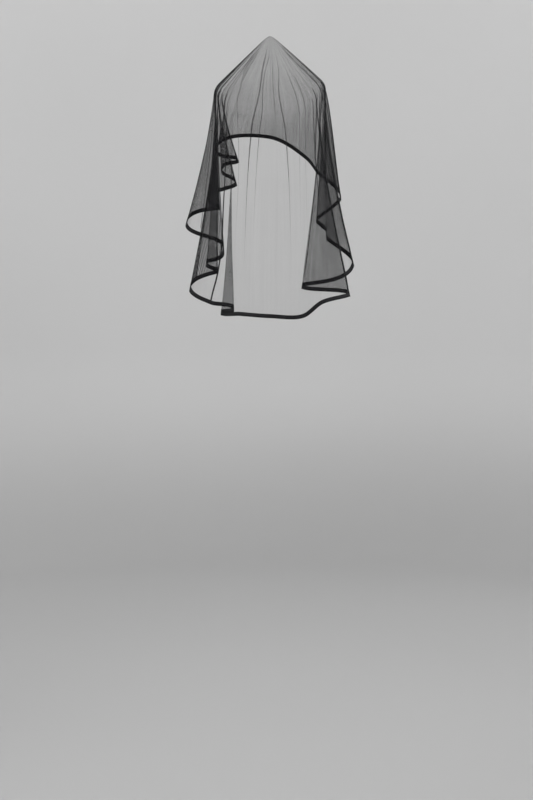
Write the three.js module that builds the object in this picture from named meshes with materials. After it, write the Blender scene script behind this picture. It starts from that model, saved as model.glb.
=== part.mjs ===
// Hip-length veil: one sheet of soft tulle with a satin ribbon along its whole edge, hanging as it is worn.
// Millimetres, +Z up. The origin is the crown point, where the veil rests on the top of the head.
// The wearer faces +Y, so the long back of the veil lies on the -Y side and the wearer's left is -X.
import * as THREE from 'three';

// Cloth
const TULLE_WALL = 1.0;
const RIBBON_WALL = 1.4;
const RIBBON_WIDTH = 13;
const SEAM_GAP = 0.45;

// The crown is drawn to a small round tip. The number is how far the point of the plain cone stands above it.
const TIP_ROUNDING = 9;

// The line where the veil bears on the body: shoulder tips at the sides, shoulder blades behind, chest in front.
const SHOULDER_HALF_WIDTH = 179;
const SHOULDER_BACK = 105;
const SHOULDER_FRONT = 112;
const SHOULDER_SQUARENESS = 2.7;
const LEFT_SHOULDER_DROP = 165;
const RIGHT_SHOULDER_DROP = 150;
const BACK_DROP = 235;
const FRONT_DROP = 210;

// How far from the shoulder line the cloth starts to turn over it: close over the shoulder tips, wide over the back
// and the chest
const TURN_AT_SIDES = 22;
const TURN_AT_BACK = 55;
const TURN_AT_FRONT = 35;

// Folds in order round the edge, from the front over the wearer's left, the back and the wearer's right.
// x, y, z: where the fold line meets the middle of the ribbon. bearing: degrees on the shoulder line, 0 at the front
// and 90 at the wearer's left. before, after: how full the edge curves into the fold and out of it, 1 for a plain
// smooth turn. swing: how late the fold line swings out on its way down, 1 for a straight line.
const FOLDS = [
  { fold: 'front middle', x: -6, y: 146, z: -308, bearing: 0, before: 1, after: 0.9, swing: 1.4 },
  { fold: 'left 1 crest', x: -176, y: 138, z: -355, bearing: 50, before: 1, after: 1.6, swing: 1.4 },
  { fold: 'left 1 valley', x: -106, y: 114, z: -387, bearing: 58, before: 0.8, after: 0.7, swing: 1.4 },
  { fold: 'left 2 crest', x: -162, y: 98, z: -417, bearing: 65, before: 1.5, after: 1.1, swing: 1.4 },
  { fold: 'left 2 valley', x: -112, y: 70, z: -465, bearing: 71, before: 1, after: 0.5, swing: 1.4 },
  { fold: 'left 3 crest', x: -204, y: 54, z: -512, bearing: 78, before: 0.9, after: 1.5, swing: 1.4 },
  { fold: 'left 3 valley', x: -165, y: 30, z: -545, bearing: 84, before: 0.6, after: 0.2, swing: 1.4 },
  { fold: 'left 4 crest', x: -273, y: -16, z: -594, bearing: 91, before: 1.5, after: 1.1, swing: 1.4 },
  { fold: 'left 4 valley', x: -149, y: -68, z: -674, bearing: 99, before: 0.9, after: 2.2, swing: 1.4 },
  { fold: 'left 5 crest', x: -205, y: -94, z: -722, bearing: 106, before: 0.6, after: 1.3, swing: 1.4 },
  { fold: 'left 5 valley', x: -167, y: -120, z: -748, bearing: 113, before: 0.7, after: 0.2, swing: 1.4 },
  { fold: 'left 6 crest', x: -258, y: -160, z: -801, bearing: 121, before: 1.2, after: 1.1, swing: 1.4 },
  { fold: 'left 6 pleat', x: -186, y: -192, z: -845, bearing: 132, before: 0.7, after: 0.7, swing: 1.4 },
  { fold: 'left 6 valley', x: -114, y: -200, z: -863, bearing: 142, before: 1, after: 1, swing: 1.4 },
  { fold: 'left 7 crest', x: -154, y: -222, z: -874, bearing: 148, before: 0.8, after: 0.8, swing: 1.4 },
  { fold: 'back left', x: -94, y: -220, z: -879, bearing: 158, before: 1, after: 1, swing: 1.4 },
  { fold: 'back middle', x: 0, y: -206, z: -887, bearing: 180, before: 1, after: 1, swing: 1.4 },
  { fold: 'back right', x: 104, y: -212, z: -886, bearing: 208, before: 0.9, after: 0.9, swing: 1.4 },
  { fold: 'back corner', x: 164, y: -208, z: -843, bearing: 221, before: 1, after: 1, swing: 1.4 },
  { fold: 'right 3 crest', x: 252, y: -186, z: -817, bearing: 232, before: 0.4, after: 0.5, swing: 1.4 },
  { fold: 'right 2 valley', x: 102, y: -150, z: -794, bearing: 245, before: 0.5, after: 0.3, swing: 1.4 },
  { fold: 'right 2 crest', x: 272, y: -84, z: -725, bearing: 257, before: 1.3, after: 0.9, swing: 1.8 },
  { fold: 'right 2 nook', x: 184, y: -38, z: -640, bearing: 262, before: 0.6, after: 0.5, swing: 1.6 },
  { fold: 'right 2 pleat', x: 187, y: -20, z: -620, bearing: 266, before: 0.5, after: 0.6, swing: 1.6 },
  { fold: 'right 1 valley', x: 153, y: 4, z: -586, bearing: 271, before: 0.4, after: 0.3, swing: 1.4 },
  { fold: 'right 1 crest', x: 237, y: 74, z: -510, bearing: 283, before: 0.5, after: 1.1, swing: 1 },
  { fold: 'right front', x: 162, y: 112, z: -436, bearing: 298, before: 1, after: 1, swing: 1.2 },
  { fold: 'front right', x: 122, y: 138, z: -377, bearing: 318, before: 1, after: 1, swing: 1.4 },
];

// Fineness of the faceted surface: steps round the ring from one fold to the next, and the levels down the cone,
// the turn and the fall. The last level of the fall stays this far above the middle of the ribbon.
const STEPS_PER_FOLD = 6;
const CONE_LEVELS = [0.06, 0.2, 0.56];
const TURN_LEVELS = [0, 0.35, 0.65, 1];
const FALL_LEVELS = [0.15, 0.31, 0.47, 0.62, 0.75, 0.88, 1];
const EDGE_MARGIN = 26;

const radians = (degrees) => degrees * Math.PI / 180;
const signedPower = (value, power) => Math.sign(value) * Math.abs(value) ** power;

// Point of the shoulder line at a bearing
function shoulderPoint(bearing) {
  const ahead = Math.cos(radians(bearing));
  const toLeft = Math.sin(radians(bearing));
  const power = 2 / SHOULDER_SQUARENESS;
  const sideDrop = toLeft > 0 ? LEFT_SHOULDER_DROP : RIGHT_SHOULDER_DROP;
  const middleDrop = ahead > 0 ? FRONT_DROP : BACK_DROP;
  return new THREE.Vector3(
    -SHOULDER_HALF_WIDTH * signedPower(toLeft, power),
    (ahead > 0 ? SHOULDER_FRONT : SHOULDER_BACK) * signedPower(ahead, power),
    -(sideDrop * toLeft ** 2 + middleDrop * ahead ** 2),
  );
}

// Point on the cone between the tip and a shoulder point, at a share of the way out
function conePoint(shoulder, share) {
  const spread = Math.hypot(shoulder.x, shoulder.y);
  const slope = Math.sqrt((TIP_ROUNDING - shoulder.z) ** 2 - TIP_ROUNDING ** 2) / spread;
  const out = share * spread;
  return new THREE.Vector3(
    shoulder.x * share,
    shoulder.y * share,
    TIP_ROUNDING - Math.hypot(TIP_ROUNDING, slope * out),
  );
}

// Point between a shoulder point and the edge, at a share of the way down
function fallPoint(shoulder, edge, swing, share) {
  const out = share ** swing;
  return new THREE.Vector3(
    THREE.MathUtils.lerp(shoulder.x, edge.x, out),
    THREE.MathUtils.lerp(shoulder.y, edge.y, out),
    THREE.MathUtils.lerp(shoulder.z, edge.z, share),
  );
}

// One fold line from near the tip to the middle of the ribbon, as points at the levels that every fold line shares
function foldLine({ x, y, z, bearing, swing }) {
  const shoulder = shoulderPoint(bearing);
  const edge = new THREE.Vector3(x, y, z);
  const ahead = Math.cos(radians(bearing));
  const turnLength = THREE.MathUtils.lerp(TURN_AT_SIDES, ahead > 0 ? TURN_AT_FRONT : TURN_AT_BACK, ahead ** 2);
  const turnAbove = 1 - turnLength / shoulder.length();
  const turnBelow = turnLength / shoulder.distanceTo(edge);
  const nearEdge = 1 - EDGE_MARGIN / shoulder.distanceTo(edge);
  const turn = new THREE.QuadraticBezierCurve3(
    conePoint(shoulder, turnAbove), shoulder, fallPoint(shoulder, edge, swing, turnBelow));
  return [
    ...CONE_LEVELS.map((level) => conePoint(shoulder, level * turnAbove)),
    ...TURN_LEVELS.map((level) => turn.getPoint(level)),
    ...FALL_LEVELS.map(
      (level) => fallPoint(shoulder, edge, swing, THREE.MathUtils.lerp(turnBelow, nearEdge, level))),
    edge,
  ];
}

// A smooth closed curve through one point of each fold line, turning at each as full as its row of the table says
function ringThrough(points) {
  const count = points.length;
  const legs = points.map((point, index) => points[(index + 1) % count].clone().sub(point));
  const headings = legs.map((leg, index) => {
    const legBefore = legs[(index + count - 1) % count];
    return leg.clone().normalize().add(legBefore.clone().normalize()).normalize();
  });
  return points.flatMap((start, index) => {
    const next = (index + 1) % count;
    const end = points[next];
    const reach = legs[index].length() / 3;
    const span = new THREE.CubicBezierCurve3(
      start,
      start.clone().addScaledVector(headings[index], reach * FOLDS[index].after),
      end.clone().addScaledVector(headings[next], -reach * FOLDS[next].before),
      end);
    return Array.from({ length: STEPS_PER_FOLD }, (_, step) => {
      const even = step / STEPS_PER_FOLD;
      const crowded = (1 - Math.cos(Math.PI * even)) / 2;
      return span.getPoint((even + crowded) / 2);
    });
  });
}

// The mid-surface of the cloth: rings from near the tip down to the middle of the ribbon
const foldLines = FOLDS.map(foldLine);
const rings = foldLines[0].map((_, level) => ringThrough(foldLines.map((line) => line[level])));
const edgeRing = rings.length - 1;
const RING_SIZE = rings[0].length;

// Direction round a ring at a point of it
function alongRing(level, column) {
  const ring = rings[level];
  const before = ring[(column + RING_SIZE - 1) % RING_SIZE];
  const after = ring[(column + 1) % RING_SIZE];
  return after.clone().sub(before).normalize();
}

// Direction out of the cloth at a point of a ring
function outward(level, column) {
  const above = rings[Math.max(level - 1, 0)][column];
  const below = rings[Math.min(level + 1, edgeRing)][column];
  return below.clone().sub(above).cross(alongRing(level, column)).normalize();
}

// A ring in the cloth at a distance square to the edge ring, below it where the distance is positive
function besideEdge(distance) {
  return rings[edgeRing].map((point, column) => {
    const down = point.clone().sub(rings[edgeRing - 1][column]).normalize();
    const squareness = down.clone().cross(alongRing(edgeRing, column)).length();
    return point.clone().addScaledVector(down, distance / squareness);
  });
}

// The two faces of a band of cloth, the outer one first, each ring moved out by half the wall
function clothFaces(band, wall) {
  return [wall / 2, -wall / 2].map((offset) => band.map(({ ring, level }) => ring.map(
    (point, column) => point.clone().addScaledVector(outward(level, column), offset))));
}

// Triangles of the first bands between the rings of a path down the outer face of a cloth and back up its inner one.
// The squares of both faces are cut along the same diagonal, so that the wall stays even where the cloth twists.
function bandTriangles(path, bandCount) {
  const triangles = [];
  for (let band = 0; band < bandCount; band += 1) {
    const upper = band * RING_SIZE;
    const lower = ((band + 1) % path.length) * RING_SIZE;
    const onInnerFace = band >= path.length / 2;
    for (let column = 0; column < RING_SIZE; column += 1) {
      const next = (column + 1) % RING_SIZE;
      const corners = [upper + column, lower + column, lower + next, upper + next];
      if (onInnerFace) corners.push(corners.shift());
      const [first, second, third, fourth] = corners;
      triangles.push(first, second, third, first, third, fourth);
    }
  }
  return triangles;
}

function meshFrom(name, points, triangles, material) {
  const geometry = new THREE.BufferGeometry();
  geometry.setAttribute('position', new THREE.Float32BufferAttribute(points.flatMap((p) => p.toArray()), 3));
  geometry.setIndex(triangles);
  geometry.computeVertexNormals();
  const mesh = new THREE.Mesh(geometry, material);
  mesh.name = name;
  return mesh;
}

// The tulle: its outer face down from the tip, round the edge and back up the inner face to the tip
function tulleVeil() {
  const band = rings.slice(0, edgeRing).map((ring, level) => ({ ring, level }));
  band.push({ ring: besideEdge(-RIBBON_WIDTH / 2 - SEAM_GAP), level: edgeRing });
  const [outer, inner] = clothFaces(band, TULLE_WALL);
  const path = [...outer, ...inner.reverse()];
  const points = path.flat();
  const triangles = bandTriangles(path, path.length - 1);
  const outerTip = points.push(new THREE.Vector3(0, 0, TULLE_WALL / 2)) - 1;
  const innerTip = points.push(new THREE.Vector3(0, 0, -TULLE_WALL / 2)) - 1;
  const lastRing = (path.length - 1) * RING_SIZE;
  for (let column = 0; column < RING_SIZE; column += 1) {
    const next = (column + 1) % RING_SIZE;
    triangles.push(outerTip, column, next);
    triangles.push(innerTip, lastRing + next, lastRing + column);
  }
  return meshFrom('tulle_veil', points, triangles,
    new THREE.MeshStandardMaterial({ color: 0x17171a, roughness: 0.9, metalness: 0 }));
}

// The ribbon: a closed flat loop just past the edge of the tulle
function ribbonEdge() {
  const band = [-RIBBON_WIDTH / 2, RIBBON_WIDTH / 2].map(
    (distance) => ({ ring: besideEdge(distance), level: edgeRing }));
  const [outer, inner] = clothFaces(band, RIBBON_WALL);
  const path = [...outer, ...inner.reverse()];
  return meshFrom('ribbon_edge', path.flat(), bandTriangles(path, path.length),
    new THREE.MeshStandardMaterial({ color: 0x0c0c0e, roughness: 0.45, metalness: 0 }));
}

const veil = new THREE.Group();
veil.name = 'hip_length_veil';
veil.add(tulleVeil(), ribbonEdge());

export default veil;
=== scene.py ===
# Hip-length tulle veil with a satin ribbon along its edge, hanging as it is worn.
# Metres, +Z up. The origin is the crown point. The wearer faces +Y, with their left side towards -X.
import math

import bmesh
import bpy
import numpy as np
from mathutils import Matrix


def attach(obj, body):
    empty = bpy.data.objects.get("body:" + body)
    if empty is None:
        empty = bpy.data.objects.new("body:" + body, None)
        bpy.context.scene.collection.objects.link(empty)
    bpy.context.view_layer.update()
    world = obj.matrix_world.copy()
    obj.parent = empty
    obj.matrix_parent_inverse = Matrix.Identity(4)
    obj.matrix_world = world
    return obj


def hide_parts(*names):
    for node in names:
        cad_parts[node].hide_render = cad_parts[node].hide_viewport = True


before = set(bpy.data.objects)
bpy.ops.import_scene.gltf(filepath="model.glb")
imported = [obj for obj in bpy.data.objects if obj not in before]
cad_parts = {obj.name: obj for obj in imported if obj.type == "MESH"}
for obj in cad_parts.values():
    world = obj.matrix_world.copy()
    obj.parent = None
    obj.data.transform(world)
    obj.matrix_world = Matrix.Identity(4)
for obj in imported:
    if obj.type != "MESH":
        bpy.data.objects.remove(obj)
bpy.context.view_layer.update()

# The camera stands behind the wearer, 4.2 m away, two thirds of the way down the veil, and looks a little
# down. Its picture is 533 wide and 800 high, so the lens is counted over the height.
CAMERA_PLACE = (-0.01095, -4.2, -0.60214)
CAMERA_DOWN = 7.8706
camera_data = bpy.data.cameras.new("camera")
camera_data.lens = 56.967
camera_data.sensor_width = 36.0
camera_data.clip_start = 0.05
camera_data.clip_end = 60.0
camera = bpy.data.objects.new("camera", camera_data)
camera.location = CAMERA_PLACE
camera.rotation_euler = (math.radians(90 - CAMERA_DOWN), 0, 0)
bpy.context.collection.objects.link(camera)
bpy.context.scene.camera = camera

# Studio: one paper sweep, a pale flat floor that curves up into a wall all round, lit softly from every
# side, with a broad lamp above the wearer's right and weaker ones on the left and in front. The wall's colour
# is painted paler than the floor's, painted light that makes up for the floor getting more light than the
# wall. Light passes the paper, so it shades nothing.
FLOOR_HEIGHT = -3.0
FLOOR_MIDDLE_RADIUS = 1.2
FLOOR_RADIUS = 4.6
SWEEP_RADIUS = 1.4
WALL_HEIGHT = 4.0
FLOOR_TONE = 0.47
WALL_TONE_PAINTED_PALER = 0.76
SWEEP_STEPS = 14
SWEEP_SIDES = 96
sweep_profile = [(0.0, FLOOR_HEIGHT), (FLOOR_MIDDLE_RADIUS, FLOOR_HEIGHT), (FLOOR_RADIUS, FLOOR_HEIGHT)]
for step in range(1, SWEEP_STEPS + 1):
    turned = math.pi / 2 * step / SWEEP_STEPS
    sweep_profile.append((
        FLOOR_RADIUS + SWEEP_RADIUS * math.sin(turned),
        FLOOR_HEIGHT + SWEEP_RADIUS * (1 - math.cos(turned)),
    ))
sweep_profile.append((FLOOR_RADIUS + SWEEP_RADIUS, WALL_HEIGHT))
sweep_mesh = bmesh.new()
sweep_centre = sweep_mesh.verts.new((0, 0, FLOOR_HEIGHT))
sweep_rings = []
for radius, height in sweep_profile[1:]:
    sweep_rings.append([
        sweep_mesh.verts.new((
            radius * math.cos(2 * math.pi * side / SWEEP_SIDES),
            radius * math.sin(2 * math.pi * side / SWEEP_SIDES),
            height,
        ))
        for side in range(SWEEP_SIDES)
    ])
for side in range(SWEEP_SIDES):
    beside = (side + 1) % SWEEP_SIDES
    sweep_mesh.faces.new((sweep_centre, sweep_rings[0][side], sweep_rings[0][beside]))
    for inner, outer in zip(sweep_rings, sweep_rings[1:]):
        sweep_mesh.faces.new((inner[side], outer[side], outer[beside], inner[beside]))
for face in sweep_mesh.faces:
    face.smooth = True
sweep_data = bpy.data.meshes.new("paper_sweep")
sweep_mesh.to_mesh(sweep_data)
sweep_mesh.free()
paper_sweep = bpy.data.objects.new("paper_sweep", sweep_data)
bpy.context.collection.objects.link(paper_sweep)
paper_sweep.visible_shadow = False

sweep_paper = bpy.data.materials.new("sweep_paper")
sweep_paper.use_nodes = True
nodes, links = sweep_paper.node_tree.nodes, sweep_paper.node_tree.links
paper_shader = nodes["Principled BSDF"]
paper_shader.inputs["Roughness"].default_value = 0.9
paper_shader.inputs["Specular IOR Level"].default_value = 0.1
paper_place = nodes.new("ShaderNodeTexCoord")
paper_parts = nodes.new("ShaderNodeSeparateXYZ")
links.new(paper_place.outputs["Object"], paper_parts.inputs[0])
# Painted light: the paper's colour goes from the floor's tone up to the paler wall's tone with height, to
# even out how brightly the two are lit
paper_tone_with_painted_light = nodes.new("ShaderNodeMapRange")
paper_tone_with_painted_light.interpolation_type = "SMOOTHSTEP"
paper_tone_with_painted_light.inputs["From Min"].default_value = FLOOR_HEIGHT
paper_tone_with_painted_light.inputs["From Max"].default_value = FLOOR_HEIGHT + SWEEP_RADIUS
paper_tone_with_painted_light.inputs["To Min"].default_value = FLOOR_TONE
paper_tone_with_painted_light.inputs["To Max"].default_value = WALL_TONE_PAINTED_PALER
links.new(paper_parts.outputs["Z"], paper_tone_with_painted_light.inputs["Value"])
paper_mottle = nodes.new("ShaderNodeTexNoise")
paper_mottle.inputs["Scale"].default_value = 0.35
paper_mottle.inputs["Detail"].default_value = 1.0
links.new(paper_place.outputs["Object"], paper_mottle.inputs["Vector"])
paper_shade = nodes.new("ShaderNodeMapRange")
paper_shade.inputs["To Min"].default_value = 0.92
paper_shade.inputs["To Max"].default_value = 1.06
links.new(paper_mottle.outputs["Fac"], paper_shade.inputs["Value"])
paper_colour = nodes.new("ShaderNodeMath")
paper_colour.operation = "MULTIPLY"
links.new(paper_tone_with_painted_light.outputs["Result"], paper_colour.inputs[0])
links.new(paper_shade.outputs["Result"], paper_colour.inputs[1])
links.new(paper_colour.outputs[0], paper_shader.inputs["Base Color"])
sweep_data.materials.append(sweep_paper)

studio_world = bpy.data.worlds.new("studio_world")
bpy.context.scene.world = studio_world
studio_world.use_nodes = True
studio_world.node_tree.nodes["Background"].inputs["Color"].default_value = (1, 1, 1, 1)
studio_world.node_tree.nodes["Background"].inputs["Strength"].default_value = 1.05

VEIL_MIDDLE = (0.0, 0.0, -0.45)
for lamp, place, size, power in (
    ("right_lamp", (2.6, -2.6, 1.9), 1.8, 75),
    ("left_lamp", (-3.0, -2.2, 1.0), 2.2, 25),
    ("front_lamp", (0.4, 3.2, 1.6), 2.0, 30),
):
    lamp_data = bpy.data.lights.new(lamp, "AREA")
    lamp_data.shape = "DISK"
    lamp_data.size = size
    lamp_data.energy = power
    lamp_object = bpy.data.objects.new(lamp, lamp_data)
    lamp_object.location = place
    towards_veil = np.array(VEIL_MIDDLE) - np.array(place)
    flat_reach = math.hypot(towards_veil[0], towards_veil[1])
    lamp_object.rotation_euler = (
        math.atan2(flat_reach, -towards_veil[2]),
        0,
        math.atan2(towards_veil[1], towards_veil[0]) - math.pi / 2,
    )
    bpy.context.collection.objects.link(lamp_object)
bpy.context.scene.view_settings.view_transform = "Standard"
bpy.context.scene.cycles.transparent_max_bounces = 32

# The tulle veil: one oval of soft black nylon tulle, laid over the head by a point well off its middle, so
# that it falls short in front and long behind. It is drawn tight over the crown and the shoulders and drops
# in flutes.
TIP_ROUNDING = 0.009
SHOULDER_HALF_WIDTH = 0.179
SHOULDER_BACK = 0.105
SHOULDER_FRONT = 0.112
SHOULDER_SQUARENESS = 2.7
LEFT_SHOULDER_DROP = 0.165
RIGHT_SHOULDER_DROP = 0.150
BACK_DROP = 0.235
FRONT_DROP = 0.210
TURN_AT_SIDES = 0.022
TURN_AT_BACK = 0.055
TURN_AT_FRONT = 0.035

# Folds in order round the edge: where each meets the middle of the ribbon (x, y, z), its bearing in degrees
# on the shoulder line, how full the edge curves into it and out of it, how late it swings out on its way
# down, and the half width of the small pleat beside it, or 0 for none.
FOLDS = [
    ("front middle", -0.006, 0.146, -0.308, 0, 1.0, 0.9, 1.4, 0.0000),
    ("left 1 crest", -0.179, 0.138, -0.346, 50, 1.0, 1.6, 1.4, 0.0020),
    ("left 1 valley", -0.106, 0.114, -0.387, 58, 0.8, 0.7, 1.4, 0.0018),
    ("left 2 crest", -0.162, 0.098, -0.417, 65, 1.5, 1.1, 1.4, 0.0022),
    ("left 2 valley", -0.112, 0.070, -0.465, 71, 1.0, 0.5, 1.4, 0.0018),
    ("left 3 crest", -0.204, 0.054, -0.512, 78, 0.9, 1.5, 1.4, 0.0036),
    ("left 3 valley", -0.165, 0.030, -0.545, 84, 0.6, 0.2, 1.4, 0.0020),
    ("left 4 crest", -0.273, -0.016, -0.594, 91, 1.5, 1.1, 1.4, 0.0045),
    ("left 4 valley", -0.149, -0.068, -0.674, 99, 0.9, 2.2, 1.4, 0.0022),
    ("left 5 crest", -0.205, -0.094, -0.722, 106, 0.6, 1.3, 1.4, 0.0000),
    ("left 5 valley", -0.167, -0.120, -0.748, 113, 0.7, 0.2, 1.4, 0.0018),
    ("left 6 crest", -0.254, -0.160, -0.797, 121, 1.2, 1.1, 1.3, 0.0030),
    ("left 6 pleat", -0.186, -0.192, -0.845, 132, 0.7, 0.7, 1.4, 0.0000),
    ("left 6 valley", -0.114, -0.200, -0.863, 142, 1.0, 1.0, 1.4, 0.0000),
    ("left 7 crest", -0.154, -0.222, -0.874, 148, 0.8, 0.8, 1.4, 0.0000),
    ("back left", -0.094, -0.220, -0.879, 158, 1.0, 1.0, 1.4, 0.0000),
    ("back middle", 0.000, -0.206, -0.887, 180, 1.0, 1.0, 1.4, 0.0000),
    ("back right", 0.104, -0.212, -0.886, 208, 0.9, 0.9, 1.4, 0.0000),
    ("back corner", 0.164, -0.208, -0.843, 221, 1.0, 1.0, 1.4, 0.0000),
    ("right 3 crest", 0.252, -0.186, -0.817, 232, 0.4, 0.5, 1.4, 0.0030),
    ("right 2 valley", 0.102, -0.150, -0.794, 245, 0.5, 0.3, 1.4, 0.0000),
    ("right 2 crest", 0.269, -0.084, -0.725, 257, 1.3, 0.9, 1.55, 0.0042),
    ("right 2 nook", 0.184, -0.038, -0.640, 262, 0.6, 0.5, 1.6, 0.0000),
    ("right 2 pleat", 0.187, -0.020, -0.620, 266, 0.5, 0.6, 1.6, 0.0018),
    ("right 1 valley", 0.153, 0.004, -0.586, 271, 0.4, 0.3, 1.4, 0.0018),
    ("right 1 crest", 0.237, 0.074, -0.510, 283, 0.5, 1.1, 0.72, 0.0042),
    ("right front", 0.162, 0.112, -0.427, 298, 1.0, 1.0, 1.2, 0.0020),
    ("front right", 0.122, 0.138, -0.377, 318, 1.0, 1.0, 1.4, 0.0000),
]
fold_names, *fold_columns = zip(*FOLDS)
edge_x, edge_y, edge_z, fold_degrees, before, after, swing, pleat_half_widths = np.array(fold_columns)
edge_points = np.stack([edge_x, edge_y, edge_z], axis=1)
before, after, swing = before[:, None], after[:, None], swing[:, None]
bearings = np.radians(fold_degrees)

ahead, to_left = np.cos(bearings), np.sin(bearings)
side_drop = np.where(to_left > 0, LEFT_SHOULDER_DROP, RIGHT_SHOULDER_DROP)
middle_drop = np.where(ahead > 0, FRONT_DROP, BACK_DROP)
square = 2 / SHOULDER_SQUARENESS
shoulder_points = np.stack([
    -SHOULDER_HALF_WIDTH * np.sign(to_left) * np.abs(to_left) ** square,
    np.where(ahead > 0, SHOULDER_FRONT, SHOULDER_BACK) * np.sign(ahead) * np.abs(ahead) ** square,
    -(side_drop * to_left**2 + middle_drop * ahead**2),
], axis=1)
shoulder_spread = np.hypot(shoulder_points[:, 0], shoulder_points[:, 1])
cone_slope = np.sqrt((TIP_ROUNDING - shoulder_points[:, 2]) ** 2 - TIP_ROUNDING**2) / shoulder_spread
turn_length = TURN_AT_SIDES + (np.where(ahead > 0, TURN_AT_FRONT, TURN_AT_BACK) - TURN_AT_SIDES) * ahead**2
turn_above = (1 - turn_length / np.linalg.norm(shoulder_points, axis=1))[:, None]
turn_below = (turn_length / np.linalg.norm(shoulder_points - edge_points, axis=1))[:, None]


def on_cone(share):
    height = TIP_ROUNDING - np.hypot(TIP_ROUNDING, cone_slope[:, None] * share * shoulder_spread[:, None])
    return np.hstack([shoulder_points[:, :2] * share, height])


def on_fall(share):
    out = share**swing
    swung = shoulder_points[:, :2] * (1 - out) + edge_points[:, :2] * out
    return np.hstack([swung, shoulder_points[:, 2:] * (1 - share) + edge_points[:, 2:] * share])


def fold_lines_at(level):
    """Each fold line at a level: 0 to 1 is the cone, 1 to 2 the turn over the shoulders, 2 to 3 the fall."""
    if level <= 1:
        return on_cone(level * turn_above)
    if level <= 2:
        round_it = level - 1
        upper, lower = on_cone(turn_above), on_fall(turn_below)
        return (
            (1 - round_it) ** 2 * upper
            + 2 * round_it * (1 - round_it) * shoulder_points
            + round_it**2 * lower
        )
    return on_fall(turn_below + (level - 2) * (1 - turn_below))


def ring_points(level, places):
    """Points of a smooth closed ring through every fold line at a level. Places count in folds round it."""
    points = fold_lines_at(level)
    legs = np.roll(points, -1, axis=0) - points
    lengths = np.linalg.norm(legs, axis=1)[:, None]
    units = legs / lengths
    headings = units + np.roll(units, 1, axis=0)
    headings /= np.linalg.norm(headings, axis=1)[:, None]
    leave = points + headings * lengths / 3 * after
    arrive = np.roll(points - headings * np.roll(lengths, 1, axis=0) / 3 * before, -1, axis=0)
    end = np.roll(points, -1, axis=0)
    fold = np.floor(places).astype(int)
    even = places - fold
    fold %= len(FOLDS)
    share = ((even + (1 - np.cos(math.pi * even)) / 2) / 2)[:, None]
    return (
        (1 - share) ** 3 * points[fold]
        + 3 * share * (1 - share) ** 2 * leave[fold]
        + 3 * share**2 * (1 - share) * arrive[fold]
        + share**3 * end[fold]
    )


# Columns of plain cloth from each fold to the next, spaced evenly along the edge or the shoulder line
COLUMN_SPACING = 0.0041
fold_numbers = np.arange(len(FOLDS) + 1)
fold_bearings = np.append(fold_degrees, 360.0)
edge_legs = np.linalg.norm(np.roll(edge_points, -1, axis=0) - edge_points, axis=1)
shoulder_legs = np.linalg.norm(np.roll(shoulder_points, -1, axis=0) - shoulder_points, axis=1)
steps_before = np.concatenate([[0], np.cumsum(np.maximum(edge_legs, shoulder_legs) / COLUMN_SPACING)])

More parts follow.
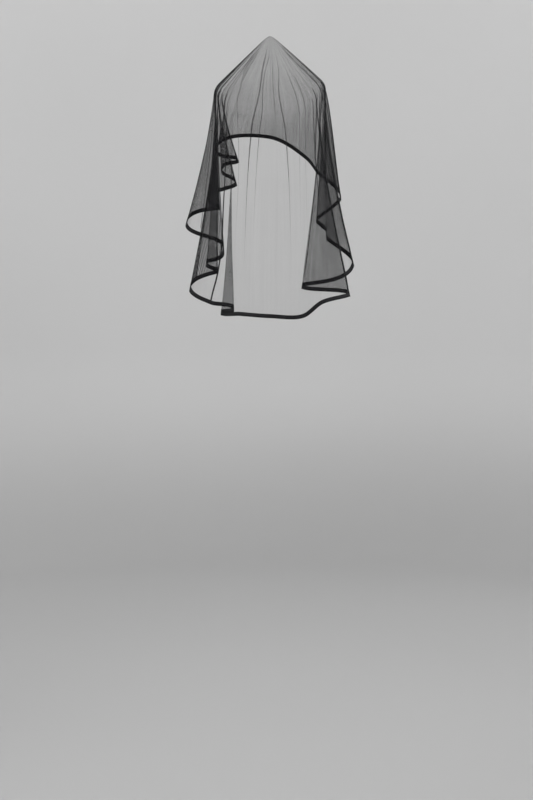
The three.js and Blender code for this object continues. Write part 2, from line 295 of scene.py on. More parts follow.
# Small pleats and creases, where the fullness of the cloth lies folded over itself in three layers. A row
# gives how many metres the pleat lies beside its line, half its thickness, the share of its length over which
# it opens out at its lower end, and how much closer the net is drawn in it, or how much wider below 0. Then
# comes its line, as the bearings that it runs through at some levels, each with the pleat's half width there.
PLEATS = [
    ("left cone edge", 0.0034, 0.0010, 0.003, 1.8, (
        (0.12, 106, 0.0006), (0.5, 106, 0.0024), (1.2, 107, 0.0028), (1.6, 106.5, 0.0022),
        (3.0, 106.5, 0.0022))),
    ("left cone band", 0.0, 0.0010, 0.30, 0.2, (
        (0.12, 136.5, 0.0006), (0.31, 136.5, 0.0030), (0.48, 137, 0.0054), (0.67, 138, 0.0060),
        (0.80, 141, 0.0040), (0.94, 144.8, 0.0022), (1.21, 147.6, 0.0018), (1.72, 151.5, 0.0018),
        (2.05, 153, 0.0016), (2.7, 154, 0.0012))),
    ("back crease 1", 0.0, 0.0010, 0.30, 1.3, (
        (0.12, 168.5, 0.0009), (0.3, 168.8, 0.0017), (0.55, 168.2, 0.0021), (0.8, 169, 0.0021),
        (1.1, 169.4, 0.0021), (1.5, 168.4, 0.0021), (2.0, 166.6, 0.0022), (2.15, 164.8, 0.0022),
        (2.8, 161, 0.0014))),
    ("back crease 2", 0.0, 0.0008, 0.30, 0.6, (
        (0.15, 179, 0.0007), (0.37, 176.5, 0.0012), (0.58, 172.4, 0.0013), (0.85, 171.5, 0.0014),
        (1.15, 172.3, 0.0014), (1.54, 172.7, 0.0014), (2.05, 171, 0.0014), (2.2, 169.6, 0.0014),
        (2.7, 167, 0.0010))),
    ("back crease 3", 0.0, 0.0008, 0.40, 0.4, (
        (0.4, 187, 0.0008), (0.9, 185, 0.0011), (1.3, 185.5, 0.0010), (2.1, 186, 0.0008))),
    ("back crease 4", 0.0, 0.0009, 0.30, 0.8, (
        (0.3, 196, 0.0009), (0.62, 194.2, 0.0012), (0.99, 190.2, 0.0016), (1.51, 190.6, 0.0018),
        (2.02, 192.6, 0.0018), (2.2, 194.5, 0.0018), (2.75, 197, 0.0012))),
    ("back crease 5", 0.0, 0.0008, 0.40, 0.3, (
        (0.5, 207, 0.0008), (1.1, 204, 0.0012), (2.0, 204, 0.0012), (2.7, 205, 0.0010))),
    ("back crease 6", 0.0, 0.0008, 0.40, 0.3, (
        (0.6, 217, 0.0008), (1.2, 213.5, 0.0012), (2.0, 213, 0.0012), (2.8, 213, 0.0010))),
    ("left hem band", -0.0050, 0.0010, 0.004, -1.1, (
        (2.2, 120.6, 0.0016), (2.5, 120.4, 0.0055), (2.75, 120.0, 0.0100), (3.0, 119.4, 0.0130))),
    ("left shoulder crease", 0.0, 0.0008, 0.40, 1.0, (
        (0.12, 125.4, 0.0002), (0.31, 125.7, 0.0006), (0.48, 126.0, 0.0012), (0.67, 127.5, 0.0014),
        (0.94, 129.0, 0.0010), (1.2, 129.4, 0.0014), (2.4, 129.0, 0.0014))),
    ("left hem crease", 0.0, 0.0010, 0.003, 3.0, (
        (0.12, 127.2, 0.0002), (0.48, 128.0, 0.0003), (0.67, 131, 0.0005), (0.80, 134, 0.0006),
        (0.94, 136, 0.0006), (1.9, 136.5, 0.0012), (2.5, 135.6, 0.0018), (2.76, 135.3, 0.0022),
        (2.9, 133.8, 0.0024), (3.0, 131.2, 0.0024))),
    ("left flute crease", 0.0, 0.0008, 0.02, 0.5, ((1.9, 94.5, 0.0016), (2.97, 94.5, 0.0018))),
    ("right cone edge", -0.0050, 0.0010, 0.02, 0.9, (
        (0.12, 240, 0.0006), (0.25, 240, 0.0012), (0.4, 240, 0.0018), (0.6, 240.5, 0.0018),
        (0.8, 242, 0.0018), (1.3, 243.5, 0.0018), (1.7, 244.5, 0.0020), (2.97, 244.5, 0.0022))),
    ("right flute crease 1", 0.0, 0.0008, 0.30, 0.5, ((1.5, 224, 0.0014), (2.8, 224, 0.0014))),
    ("right flute crease 2", 0.0, 0.0008, 0.30, 0.5, ((1.5, 250.5, 0.0014), (2.6, 250.5, 0.0014))),
    ("right flute crease 3", 0.0, 0.0008, 0.02, 0.5, ((1.5, 287.8, 0.0018), (2.97, 287.8, 0.0018))),
    ("right flute crease 4", 0.0, 0.0008, 0.30, 0.5, ((1.4, 292.5, 0.0014), (2.8, 292.5, 0.0014))),
    ("right flute crease 5", 0.0, 0.0008, 0.02, 0.6, ((1.5, 303.5, 0.0018), (2.97, 303.5, 0.0018))),
]

# The pleats beside the folds start as fine lines under the shoulder line, higher on a crest than in a valley,
# and widen down to the edge.
BESIDE_FOLD = 0.0005
CREST_PLEAT_TOP = 1.1
VALLEY_PLEAT_TOP = 1.35
TOP_WIDTH_SHARE = 0.15
UPPER_FALL_LEVEL = 2.1
UPPER_FALL_WIDTH_SHARE = 0.7
FOLD_PLEAT_HALF_THICKNESS = 0.0008
FOLD_PLEAT_OPENS_OVER = 0.003
FOLD_PLEAT_CLOSER_NET = 2.5
for name, x, bearing, half_width in zip(fold_names, edge_x, fold_degrees, pleat_half_widths):
    if half_width:
        beside_line = math.copysign(BESIDE_FOLD + half_width, -x)
        route = (
            (CREST_PLEAT_TOP if "crest" in name else VALLEY_PLEAT_TOP, bearing, TOP_WIDTH_SHARE * half_width),
            (UPPER_FALL_LEVEL, bearing, UPPER_FALL_WIDTH_SHARE * half_width),
            (3.0, bearing, half_width),
        )
        PLEATS.append((
            name, beside_line, FOLD_PLEAT_HALF_THICKNESS, FOLD_PLEAT_OPENS_OVER, FOLD_PLEAT_CLOSER_NET, route,
        ))

PLEAT_COLUMNS = 9
PLEAT_OVERLAP = 1.6
PLEAT_CLOSES_OVER = 0.12
RISE_AT_EDGE = 0.4
RISE_FADES_OVER = 0.03
pleat_across = np.linspace(-1, 1, PLEAT_COLUMNS)

# About how many metres down the cloth the levels 0, 1, 2 and 3 lie
LEVEL_DEPTHS = (0.0, 0.20, 0.31, 0.91)

# How many folds a walk along a ring looks ahead and back, and in how many steps each way
WALK_REACH = 1.2
WALK_STEPS = 48


def smooth_line(at, knots, values):
    """The value at one place of a smooth curve through values given at some knots."""
    slopes = np.gradient(values, knots)
    piece = int(np.clip(np.searchsorted(knots, at) - 1, 0, len(knots) - 2))
    gap = knots[piece + 1] - knots[piece]
    share = min(max((at - knots[piece]) / gap, 0), 1)
    return (
        (1 + 2 * share) * (1 - share) ** 2 * values[piece]
        + share * (1 - share) ** 2 * gap * slopes[piece]
        + share**2 * (3 - 2 * share) * values[piece + 1]
        + share**2 * (share - 1) * gap * slopes[piece + 1]
    )


def walk(level, place, distances):
    """Places round the ring at some distances along it from another place."""
    trail = place + np.linspace(-WALK_REACH, WALK_REACH, 2 * WALK_STEPS + 1)
    step_lengths = np.linalg.norm(np.diff(ring_points(level, trail), axis=0), axis=1)
    walked = np.concatenate([[0], np.cumsum(step_lengths)])
    return np.interp(walked[WALK_STEPS] + distances, walked, trail)


def pleat_at(pleat, level):
    """A pleat's columns at a level: their places laid flat and folded over, their rise and gathering."""
    _, beside_line, half_thickness, opens_over, closer_net, route = pleat
    route_levels, route_bearings, half_widths = zip(*route)
    depth = np.interp(level, range(4), LEVEL_DEPTHS)
    bearing = smooth_line(depth, np.interp(route_levels, range(4), LEVEL_DEPTHS), route_bearings)
    place = np.interp(bearing, fold_bearings, fold_numbers)
    half_width = np.interp(level, route_levels, half_widths) * min(1, level / route_levels[0])
    part = (level - route_levels[0]) / (route_levels[-1] - route_levels[0])
    closed = np.clip(min(part / PLEAT_CLOSES_OVER, (1 - part) / opens_over), 0, 1)
    folded = closed * np.sin(math.pi * pleat_across)
    middle = beside_line * min(1, level)
    laid_flat = walk(level, place, middle + half_width * pleat_across)
    folded_over = walk(level, place, middle + half_width * (pleat_across - PLEAT_OVERLAP * folded))
    rise = -half_thickness * folded * min(1, RISE_AT_EDGE + (1 - part) / RISE_FADES_OVER)
    return laid_flat, folded_over, rise, closer_net * closed * (1 - pleat_across**2)


def steps_at(place):
    return np.interp(place, fold_numbers, steps_before)


# Between the pleats lie columns of plain cloth, as many as the wider of two levels needs.
FEWEST_PLAIN_COLUMNS = 2
PLEATS.sort(key=lambda pleat: pleat_at(pleat, 2.0)[0][0])
plain_columns = np.full(len(PLEATS) + 1, FEWEST_PLAIN_COLUMNS)
for level in (2.0, 3.0):
    flat_pleats = [pleat_at(pleat, level)[0] for pleat in PLEATS]
    gap_starts = steps_at([0.0] + [places[-1] for places in flat_pleats])
    gap_ends = steps_at([places[0] for places in flat_pleats] + [len(FOLDS)])
    plain_columns = np.maximum(plain_columns, np.round(gap_ends - gap_starts).astype(int))


def columns_at(level):
    """Every column at a level: its place round the ring, flat and folded over, and its rise and gathering."""
    places, folded_places, rises, gathers = [], [], [], []
    gap_start = 0.0
    for pleat, count in zip([*PLEATS, None], plain_columns):
        flat, folded, rise, gather = pleat_at(pleat, level) if pleat else ([float(len(FOLDS))], [], [], [])
        first_step = 1 if places else 0
        share = np.arange(first_step, count + 1) / (count + 1)
        gap_steps = steps_at(gap_start) + (steps_at(flat[0]) - steps_at(gap_start)) * share
        gap = np.interp(gap_steps, steps_before, fold_numbers)
        places.extend([gap, flat if pleat else []])
        folded_places.extend([gap, folded])
        rises.extend([np.zeros(len(gap)), rise])
        gathers.extend([np.zeros(len(gap)), gather])
        gap_start = flat[-1]
    return [np.concatenate(parts) for parts in (places, folded_places, rises, gathers)]


# Rings of the cloth, which lie closer together towards the crown and towards the edge
CONE_RINGS = 30
TURN_RINGS = 14
FALL_RINGS = 54
CLOSER_AT_CROWN = 1.25
CLOSER_AT_EDGE = 1.15
levels = np.concatenate([
    np.linspace(0, 1, CONE_RINGS + 1)[1:] ** CLOSER_AT_CROWN,
    1 + np.linspace(0, 1, TURN_RINGS + 1)[1:],
    3 - (1 - np.linspace(0, 1, FALL_RINGS + 1)[1:]) ** CLOSER_AT_EDGE,
])
flat_places, folded_places, pleat_rise, gathering = np.stack([columns_at(level) for level in levels], axis=1)
smooth_cloth = np.stack([ring_points(level, places) for level, places in zip(levels, flat_places)])
cloth = np.stack([ring_points(level, places) for level, places in zip(levels, folded_places)])
COLUMNS = cloth.shape[1]
along_cloth = np.roll(smooth_cloth, -1, axis=1) - np.roll(smooth_cloth, 1, axis=1)
out_of_cloth = np.cross(np.gradient(smooth_cloth, axis=0), along_cloth)
out_of_cloth /= np.linalg.norm(out_of_cloth, axis=2, keepdims=True)

# How far each point lies from the crown along the cloth, how far round its ring, and how far from the edge
from_crown = np.cumsum(
    np.linalg.norm(np.diff(smooth_cloth, axis=0, prepend=np.zeros((1, COLUMNS, 3))), axis=2), axis=0)
ring_steps = np.linalg.norm(np.roll(smooth_cloth, -1, axis=1) - smooth_cloth, axis=2)
round_ring = np.cumsum(ring_steps, axis=1) - ring_steps
to_edge = from_crown[-1] - from_crown

# Wrinkles. Soft ones run down the whole cloth, and small puckers run up from the ribbon, where the seam takes
# it in.
SMOOTH_TO = 0.18
SMOOTH_ABOVE_EDGE = 0.05
PUCKER_PITCH = 0.0173
PUCKER_HEIGHT = 0.0007
PUCKERS_ABOVE_EDGE = 0.008
PUCKER_SPREAD = 0.011
wrinkles = np.zeros(cloth.shape[:2])
ring_length = round_ring[:, -1:] + ring_steps[:, -1:]
around = round_ring[-1] / ring_length[-1]
for turns, drift, phase, height in (
    (23, 5.0, 0.3, 0.0011),
    (41, -9.0, 1.9, 0.0009),
    (67, 14.0, 4.1, 0.0007),
    (113, -6.0, 0.8, 0.0005),
):
    wrinkles += height * np.sin(turns * 2 * math.pi * around + drift * from_crown + phase)
wrinkles *= np.clip(from_crown / SMOOTH_TO, 0, 1) * np.clip(to_edge / SMOOTH_ABOVE_EDGE, 0, 1)


def uneven_wave(places, pitch, sway, sways_a_metre):
    """A wave along the edge whose crests lie now closer and now wider, as they do in sewing."""
    return np.sin(2 * math.pi * places / pitch + sway * np.sin(sways_a_metre * places))


pucker_wave = uneven_wave(round_ring[-1], PUCKER_PITCH, 2.2, 9)
wrinkles += PUCKER_HEIGHT * pucker_wave * np.exp(-(((to_edge - PUCKERS_ABOVE_EDGE) / PUCKER_SPREAD) ** 2))
cloth += out_of_cloth * (wrinkles + pleat_rise)[:, :, None]
tulle_points = np.vstack([[(0.0, 0.0, 0.0)], cloth.reshape(-1, 3)])
numbers = 1 + np.arange(len(levels) * COLUMNS).reshape(len(levels), COLUMNS)
beside = np.roll(numbers, -1, axis=1)
crown_faces = np.stack([np.zeros(COLUMNS, dtype=int), numbers[0], beside[0]], axis=1)
fall_faces = np.stack([numbers[:-1], numbers[1:], beside[1:], beside[:-1]], axis=2).reshape(-1, 4)
tulle_data = bpy.data.meshes.new("tulle_drape")
tulle_data.from_pydata(tulle_points.tolist(), [], crown_faces.tolist() + fall_faces.tolist())
tulle_data.polygons.foreach_set("use_smooth", [True] * len(tulle_data.polygons))

# How close the net is drawn: more in the pleats and on the walls that face forward, less on those that face
# back, and most on the forward walls of the side flutes above the hips
FORWARD_CLOSER = 0.80
UPPER_FLUTE_CLOSER = 0.90
FLUTES_START_AT = 0.165
FLUTES_FULL_OVER = 0.040
HIP_HEIGHT = -0.70
HIPS_FADE_OVER = 0.10
facing_forward = out_of_cloth[:, :, 1]
in_side_flutes = np.clip((np.abs(cloth[:, :, 0]) - FLUTES_START_AT) / FLUTES_FULL_OVER, 0, 1)
above_hips = np.clip((cloth[:, :, 2] - HIP_HEIGHT) / HIPS_FADE_OVER, 0, 1)
gathering += FORWARD_CLOSER * facing_forward
gathering += UPPER_FLUTE_CLOSER * in_side_flutes * above_hips * np.maximum(facing_forward, 0)
tulle_data.attributes.new("gathering", "FLOAT", "POINT").data.foreach_set("value", np.append(0, gathering))

# Two maps of the cloth. The first is the cut laid flat, for the net: a piece round the crown, opened along
# the front. The second is how the cloth runs as it hangs, for its shade: metres round the edge, and metres
# down from the crown.
FLAT_SPAN = 2.0
flat_reach = np.hstack([from_crown, from_crown[:, :1]])
turn_at_each = np.hstack([round_ring, ring_length]) / flat_reach
flat_turn = np.mean(turn_at_each[len(levels) // 2:], axis=0)
flat_map = np.stack([
    0.5 - flat_reach * np.sin(flat_turn) / FLAT_SPAN,
    0.5 + flat_reach * np.cos(flat_turn) / FLAT_SPAN,
], axis=2)
flat_crown = np.full((COLUMNS + 1, 2), 0.5)
along_edge = np.append(round_ring[-1], ring_length[-1])
hanging_map = np.stack([np.broadcast_to(along_edge, flat_reach.shape), flat_reach], axis=2)
hanging_crown = np.stack([along_edge, np.zeros(COLUMNS + 1)], axis=1)


def face_corners(grid):
    """The four corners of each face between the rows of a grid."""
    return np.stack([grid[:-1, :-1], grid[1:, :-1], grid[1:, 1:], grid[:-1, 1:]], axis=2)


for map_name, crown_row, grid in (
    ("flat_cut", flat_crown, flat_map),
    ("as_it_hangs", hanging_crown, hanging_map),
):
    crown_corners = np.stack([crown_row[:-1], grid[0, :-1], grid[0, 1:]], axis=1)
    corners = np.concatenate([crown_corners.ravel(), face_corners(grid).ravel()]).astype(np.float32)
    tulle_data.uv_layers.new(name=map_name).uv.foreach_set("vector", corners)
tulle_drape = bpy.data.objects.new("tulle_drape", tulle_data)
bpy.context.collection.objects.link(tulle_drape)

# Tulle lets light through its holes, and closes as it turns away from the eye. Its net has six-sided holes,
# which stand wide open where it is drawn tight from the crown to the shoulders and draw together in the
# flutes.
NET_PITCH = 0.0022
NET_OPEN = 0.17
NET_THREAD = 0.60
TIGHT_COVER = 0.50
TIGHT_TO = 0.10
SLACK_FROM = 0.42
STREAKS_A_METRE = 85
STREAKS_DOWN_A_METRE = 2.2
STREAK_CONTRAST = 0.7
DENSITY_CONTRAST = 0.4
EDGE_ON = 0.09
black_tulle = bpy.data.materials.new("black_tulle")
black_tulle.use_nodes = True
nodes, links = black_tulle.node_tree.nodes, black_tulle.node_tree.links
tulle_shader = nodes["Principled BSDF"]
tulle_shader.inputs["Roughness"].default_value = 0.62
tulle_shader.inputs["Specular IOR Level"].default_value = 0.15
tulle_shader.inputs["Sheen Weight"].default_value = 0.03
tulle_shader.inputs["Sheen Roughness"].default_value = 0.4


def arithmetic(operation, *values):
    """A Math node in the material in hand, with numbers or sockets as its values."""
    node = nodes.new("ShaderNodeMath")
    node.operation = operation
    for socket, value in zip(node.inputs, values):
        if isinstance(value, bpy.types.NodeSocket):
            links.new(value, socket)
        else:
            socket.default_value = value
    return node.outputs[0]


cut_place = nodes.new("ShaderNodeUVMap")
cut_place.uv_map = "flat_cut"
net_scale = 2 * math.pi * FLAT_SPAN / (NET_PITCH * math.cos(math.radians(30)))
net_waves = []
for direction in (0, 60, 120):
    across_net = nodes.new("ShaderNodeVectorMath")
    across_net.operation = "DOT_PRODUCT"
    turned = math.radians(direction)
    across_net.inputs[1].default_value = (net_scale * math.cos(turned), net_scale * math.sin(turned), 0)
    links.new(cut_place.outputs["UV"], across_net.inputs[0])
    net_waves.append(arithmetic("COSINE", across_net.outputs["Value"]))
net_height = arithmetic("ADD", arithmetic("ADD", net_waves[0], net_waves[1]), net_waves[2])
net_mask = nodes.new("ShaderNodeMapRange")
net_mask.interpolation_type = "SMOOTHSTEP"
net_mask.inputs["From Min"].default_value = 0.5
net_mask.inputs["From Max"].default_value = -0.8
links.new(net_height, net_mask.inputs["Value"])

hang_place = nodes.new("ShaderNodeUVMap")
hang_place.uv_map = "as_it_hangs"
hang_parts = nodes.new("ShaderNodeSeparateXYZ")
links.new(hang_place.outputs["UV"], hang_parts.inputs[0])
slackness = nodes.new("ShaderNodeMapRange")
slackness.interpolation_type = "SMOOTHSTEP"
slackness.inputs["From Min"].default_value = TIGHT_TO
slackness.inputs["From Max"].default_value = SLACK_FROM
slackness.inputs["To Min"].default_value = TIGHT_COVER
links.new(hang_parts.outputs["Y"], slackness.inputs["Value"])
streak_place = nodes.new("ShaderNodeVectorMath")
streak_place.operation = "MULTIPLY"
streak_place.inputs[1].default_value = (STREAKS_A_METRE, STREAKS_DOWN_A_METRE, 0)
links.new(hang_place.outputs["UV"], streak_place.inputs[0])
streaks = nodes.new("ShaderNodeTexNoise")
streaks.inputs["Scale"].default_value = 1.0
streaks.inputs["Detail"].default_value = 2.0
links.new(streak_place.outputs["Vector"], streaks.inputs["Vector"])
cloth_place = nodes.new("ShaderNodeTexCoord")
density = nodes.new("ShaderNodeTexNoise")
density.inputs["Scale"].default_value = 9.0
density.inputs["Detail"].default_value = 3.0
links.new(cloth_place.outputs["Object"], density.inputs["Vector"])

thread_cover = arithmetic("MULTIPLY_ADD", net_mask.outputs["Result"], NET_THREAD - NET_OPEN, NET_OPEN)
thread_cover = arithmetic("MULTIPLY", thread_cover, slackness.outputs["Result"])
for noise, contrast in ((streaks, STREAK_CONTRAST), (density, DENSITY_CONTRAST)):
    unevenness = arithmetic("MULTIPLY_ADD", noise.outputs["Fac"], contrast, 1 - contrast / 2)
    thread_cover = arithmetic("MULTIPLY", thread_cover, unevenness)
turned_away = nodes.new("ShaderNodeLayerWeight")
turned_away.inputs["Blend"].default_value = 0.5
facing = arithmetic("MAXIMUM", arithmetic("SUBTRACT", 1.0, turned_away.outputs["Facing"]), EDGE_ON)
drawn_close = nodes.new("ShaderNodeAttribute")
drawn_close.attribute_name = "gathering"
net_layers = arithmetic("DIVIDE", arithmetic("ADD", 1.0, drawn_close.outputs["Fac"]), facing)
light_through = arithmetic("POWER", arithmetic("SUBTRACT", 1.0, thread_cover), net_layers)
links.new(arithmetic("SUBTRACT", 1.0, light_through), tulle_shader.inputs["Alpha"])

tulle_colour = nodes.new("ShaderNodeMix")
tulle_colour.data_type = "RGBA"
tulle_colour.inputs["A"].default_value = (0.006, 0.006, 0.007, 1)
tulle_colour.inputs["B"].default_value = (0.013, 0.013, 0.015, 1)
links.new(density.outputs["Fac"], tulle_colour.inputs["Factor"])
links.new(tulle_colour.outputs["Result"], tulle_shader.inputs["Base Color"])
net_bump = nodes.new("ShaderNodeBump")
net_bump.inputs["Strength"].default_value = 0.25
net_bump.inputs["Distance"].default_value = 0.0002
links.new(net_mask.outputs["Result"], net_bump.inputs["Height"])
links.new(net_bump.outputs["Normal"], tulle_shader.inputs["Normal"])
tulle_data.materials.append(black_tulle)

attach(tulle_drape, "root")
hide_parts("tulle_veil")

# Satin ribbon, 13 mm wide, folded flat over the raw edge of the tulle and stitched through along both its
# sides. It lies thinnest at the stitches and fullest along its middle.
RIBBON_SECTION = [
    (-0.0065, 0.00005), (-0.00638, 0.00028), (-0.0060, 0.00040), (-0.0055, 0.00030), (-0.0049, 0.00044),
    (-0.0028, 0.00060), (0.0000, 0.00066), (0.0028, 0.00060), (0.0049, 0.00044), (0.0055, 0.00030),
    (0.0060, 0.00040), (0.00638, 0.00028), (0.0065, 0.00005),
]
RINGS_ABOVE_EDGE = 3
RIPPLE_HEIGHT = 0.00025
RIPPLE_REACH = 0.0078
PUFF_PITCH = 0.0117
PUFF_SHARE = 0.12
edge = smooth_cloth[-1]
edge_out = out_of_cloth[-1]
edge_along = along_cloth[-1] / np.linalg.norm(along_cloth[-1], axis=1, keepdims=True)
edge_down = edge - smooth_cloth[-1 - RINGS_ABOVE_EDGE]
edge_down /= np.linalg.norm(edge_down, axis=1, keepdims=True)
squareness = np.linalg.norm(np.cross(edge_down, edge_along), axis=1, keepdims=True)


def on_ribbon(down, out):
    """A closed line along the ribbon, at a distance down from its middle and out from the cloth."""
    ripple = RIPPLE_HEIGHT * pucker_wave * (1 - abs(down) / RIPPLE_REACH)
    return edge + edge_down * down / squareness + edge_out * (out + ripple)[:, None]


section = RIBBON_SECTION + [(down, -out) for down, out in reversed(RIBBON_SECTION)]
fullness = 1 + PUFF_SHARE * uneven_wave(round_ring[-1], PUFF_PITCH, 1.4, 14)
ribbon_lines = np.stack([on_ribbon(down, out * fullness) for down, out in section])
numbers = np.arange(len(section) * COLUMNS).reshape(len(section), COLUMNS)
below, beside = np.roll(numbers, -1, axis=0), np.roll(numbers, -1, axis=1)
ribbon_faces = np.stack([numbers, below, np.roll(below, -1, axis=1), beside], axis=2).reshape(-1, 4)
ribbon_data = bpy.data.meshes.new("satin_ribbon_edge")
ribbon_data.from_pydata(ribbon_lines.reshape(-1, 3).tolist(), [], ribbon_faces.tolist())
ribbon_data.polygons.foreach_set("use_smooth", [True] * len(ribbon_data.polygons))
section_points = np.array(section + section[:1])
section_steps = np.linalg.norm(np.diff(section_points, axis=0), axis=1)
round_section = np.concatenate([[0], np.cumsum(section_steps)])
ribbon_map = np.stack(np.meshgrid(along_edge, round_section), axis=2)
ribbon_corners = face_corners(ribbon_map).ravel().astype(np.float32)
ribbon_data.uv_layers.new(name="ribbon_length").uv.foreach_set("vector", ribbon_corners)
satin_ribbon_edge = bpy.data.objects.new("satin_ribbon_edge", ribbon_data)
bpy.context.collection.objects.link(satin_ribbon_edge)

# Black satin: glossy along its middle, matt where the seams draw it in, with fine threads that run along it.
# Its colour holds a painted highlight, lighter along the middle, and painted shade, nearly black at the
# seams.
THREAD_PITCH = 0.00042
SLUBS_A_METRE = (90, 2400, 0)
SLUB_ROUGHNESS = 0.16
SIDE_ROUGHNESS = 0.50
MIDDLE_ROUGHNESS = 0.30
black_satin = bpy.data.materials.new("black_satin")
black_satin.use_nodes = True
nodes, links = black_satin.node_tree.nodes, black_satin.node_tree.links
satin_shader = nodes["Principled BSDF"]
satin_shader.inputs["Specular IOR Level"].default_value = 0.13
satin_shader.inputs["Sheen Weight"].default_value = 0.02
ribbon_place = nodes.new("ShaderNodeUVMap")
ribbon_place.uv_map = "ribbon_length"
ribbon_parts = nodes.new("ShaderNodeSeparateXYZ")
links.new(ribbon_place.outputs["UV"], ribbon_parts.inputs[0])
half_face = float(round_section[-1]) / 4
from_side = arithmetic("DIVIDE", arithmetic("PINGPONG", ribbon_parts.outputs["Y"], half_face), half_face)
# Painted highlight and painted shade: the base colour is lightest along the ribbon's middle, where satin
# shines, and darkest along the seam lines
satin_painted_highlight_and_seam_shade = nodes.new("ShaderNodeValToRGB")
satin_painted_highlight_and_seam_shade.color_ramp.elements[0].position = 0.0
satin_painted_highlight_and_seam_shade.color_ramp.elements[0].color = (0.004, 0.004, 0.005, 1)
satin_painted_highlight_and_seam_shade.color_ramp.elements[1].position = 1.0
satin_painted_highlight_and_seam_shade.color_ramp.elements[1].color = (0.013, 0.013, 0.015, 1)
for position, tone in ((0.15, 0.002), (0.32, 0.003), (0.60, 0.011)):
    stop = satin_painted_highlight_and_seam_shade.color_ramp.elements.new(position)
    stop.color = (tone, tone, tone * 1.1, 1)
links.new(from_side, satin_painted_highlight_and_seam_shade.inputs["Fac"])
links.new(satin_painted_highlight_and_seam_shade.outputs["Color"], satin_shader.inputs["Base Color"])
slub_place = nodes.new("ShaderNodeVectorMath")
slub_place.operation = "MULTIPLY"
slub_place.inputs[1].default_value = SLUBS_A_METRE
links.new(ribbon_place.outputs["UV"], slub_place.inputs[0])
slubs = nodes.new("ShaderNodeTexNoise")
slubs.inputs["Scale"].default_value = 1.0
slubs.inputs["Detail"].default_value = 2.0
links.new(slub_place.outputs["Vector"], slubs.inputs["Vector"])
roughness = arithmetic("MULTIPLY_ADD", from_side, MIDDLE_ROUGHNESS - SIDE_ROUGHNESS, SIDE_ROUGHNESS)
slub_shift = arithmetic("MULTIPLY_ADD", slubs.outputs["Fac"], SLUB_ROUGHNESS, -SLUB_ROUGHNESS / 2)
links.new(arithmetic("ADD", roughness, slub_shift), satin_shader.inputs["Roughness"])
threads = arithmetic("SINE", arithmetic("MULTIPLY", ribbon_parts.outputs["Y"], 2 * math.pi / THREAD_PITCH))
satin_bump = nodes.new("ShaderNodeBump")
satin_bump.inputs["Strength"].default_value = 0.35
satin_bump.inputs["Distance"].default_value = 0.00006
links.new(arithmetic("ADD", threads, slubs.outputs["Fac"]), satin_bump.inputs["Height"])
links.new(satin_bump.outputs["Normal"], satin_shader.inputs["Normal"])
ribbon_data.materials.append(black_satin)
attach(satin_ribbon_edge, "root")
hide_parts("ribbon_edge")

# Machine stitches in black thread, in a row along both sides of the ribbon and on both its faces. They hold
# its two layers and the tulle between them together.
STITCH_LINE = 0.0055
STITCH_PITCH = 0.0028
STITCH_LENGTH = 0.0022
THREAD_WIDTH = 0.00036
STITCH_HEIGHT = 0.00036
stitch_lines = [
    on_ribbon(side * STITCH_LINE, face * STITCH_HEIGHT * fullness) for side in (-1, 1) for face in (-1, 1)]
numbers = np.arange(len(stitch_lines) * COLUMNS).reshape(len(stitch_lines), COLUMNS)
stitch_edges = np.stack([numbers, np.roll(numbers, -1, axis=1)], axis=2).reshape(-1, 2)
line_data = bpy.data.meshes.new("stitch_lines")
line_data.from_pydata(np.concatenate(stitch_lines).tolist(), stitch_edges.tolist(), [])
line_object = bpy.data.objects.new("stitch_lines", line_data)
bpy.context.collection.objects.link(line_object)

black_thread = bpy.data.materials.new("black_thread")
black_thread.use_nodes = True
thread_shader = black_thread.node_tree.nodes["Principled BSDF"]
thread_shader.inputs["Base Color"].default_value = (0.009, 0.009, 0.010, 1)
thread_shader.inputs["Roughness"].default_value = 0.55

stitch_tree = bpy.data.node_groups.new("stitches", "GeometryNodeTree")
stitch_sockets = {}
for socket_name, socket_type, value in (
    ("Lines", "NodeSocketGeometry", None),
    ("Pitch", "NodeSocketFloat", STITCH_PITCH),
    ("Length", "NodeSocketFloat", STITCH_LENGTH),
    ("Width", "NodeSocketFloat", THREAD_WIDTH),
    ("Thread", "NodeSocketMaterial", black_thread),
):
    socket = stitch_tree.interface.new_socket(socket_name, in_out="INPUT", socket_type=socket_type)
    stitch_sockets[socket_name] = (socket.identifier, value)
stitch_tree.interface.new_socket("Stitches", in_out="OUTPUT", socket_type="NodeSocketGeometry")
nodes, links = stitch_tree.nodes, stitch_tree.links
given, made = nodes.new("NodeGroupInput"), nodes.new("NodeGroupOutput")
as_curve = nodes.new("GeometryNodeMeshToCurve")
spaced = nodes.new("GeometryNodeResampleCurve")
spaced.mode = "LENGTH"
along_line = nodes.new("GeometryNodeInputTangent")
turned = nodes.new("FunctionNodeAlignRotationToVector")
turned.axis = "X"
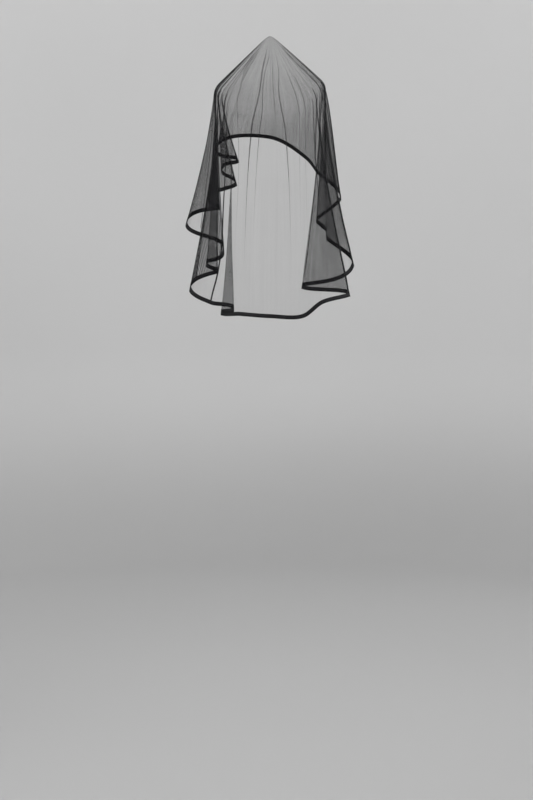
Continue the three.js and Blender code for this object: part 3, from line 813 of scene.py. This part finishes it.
ball = nodes.new("GeometryNodeMeshIcoSphere")
ball.inputs["Radius"].default_value = 0.5
ball.inputs["Subdivisions"].default_value = 1
stitch_size = nodes.new("ShaderNodeCombineXYZ")
one_stitch = nodes.new("GeometryNodeTransform")
placed = nodes.new("GeometryNodeInstanceOnPoints")
realized = nodes.new("GeometryNodeRealizeInstances")
coloured = nodes.new("GeometryNodeSetMaterial")
links.new(given.outputs["Lines"], as_curve.inputs["Mesh"])
links.new(as_curve.outputs["Curve"], spaced.inputs["Curve"])
links.new(given.outputs["Pitch"], spaced.inputs["Length"])
links.new(along_line.outputs["Tangent"], turned.inputs["Vector"])
links.new(given.outputs["Length"], stitch_size.inputs["X"])
links.new(given.outputs["Width"], stitch_size.inputs["Y"])
links.new(given.outputs["Width"], stitch_size.inputs["Z"])
links.new(ball.outputs["Mesh"], one_stitch.inputs["Geometry"])
links.new(stitch_size.outputs["Vector"], one_stitch.inputs["Scale"])
links.new(spaced.outputs["Curve"], placed.inputs["Points"])
links.new(one_stitch.outputs["Geometry"], placed.inputs["Instance"])
links.new(turned.outputs["Rotation"], placed.inputs["Rotation"])
links.new(placed.outputs["Instances"], realized.inputs["Geometry"])
links.new(realized.outputs["Geometry"], coloured.inputs["Geometry"])
links.new(given.outputs["Thread"], coloured.inputs["Material"])
links.new(coloured.outputs["Geometry"], made.inputs["Stitches"])
stitch_maker = line_object.modifiers.new("stitches", "NODES")
stitch_maker.node_group = stitch_tree
for identifier, value in stitch_sockets.values():
    if value is not None:
        stitch_maker[identifier] = value
bpy.context.view_layer.update()
stitched_lines = line_object.evaluated_get(bpy.context.evaluated_depsgraph_get())
stitch_data = bpy.data.meshes.new_from_object(stitched_lines)
line_object.modifiers.remove(stitch_maker)
bpy.data.objects.remove(line_object)
stitch_data.polygons.foreach_set("use_smooth", [True] * len(stitch_data.polygons))
ribbon_stitches = bpy.data.objects.new("ribbon_stitches", stitch_data)
bpy.context.collection.objects.link(ribbon_stitches)
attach(ribbon_stitches, "root")
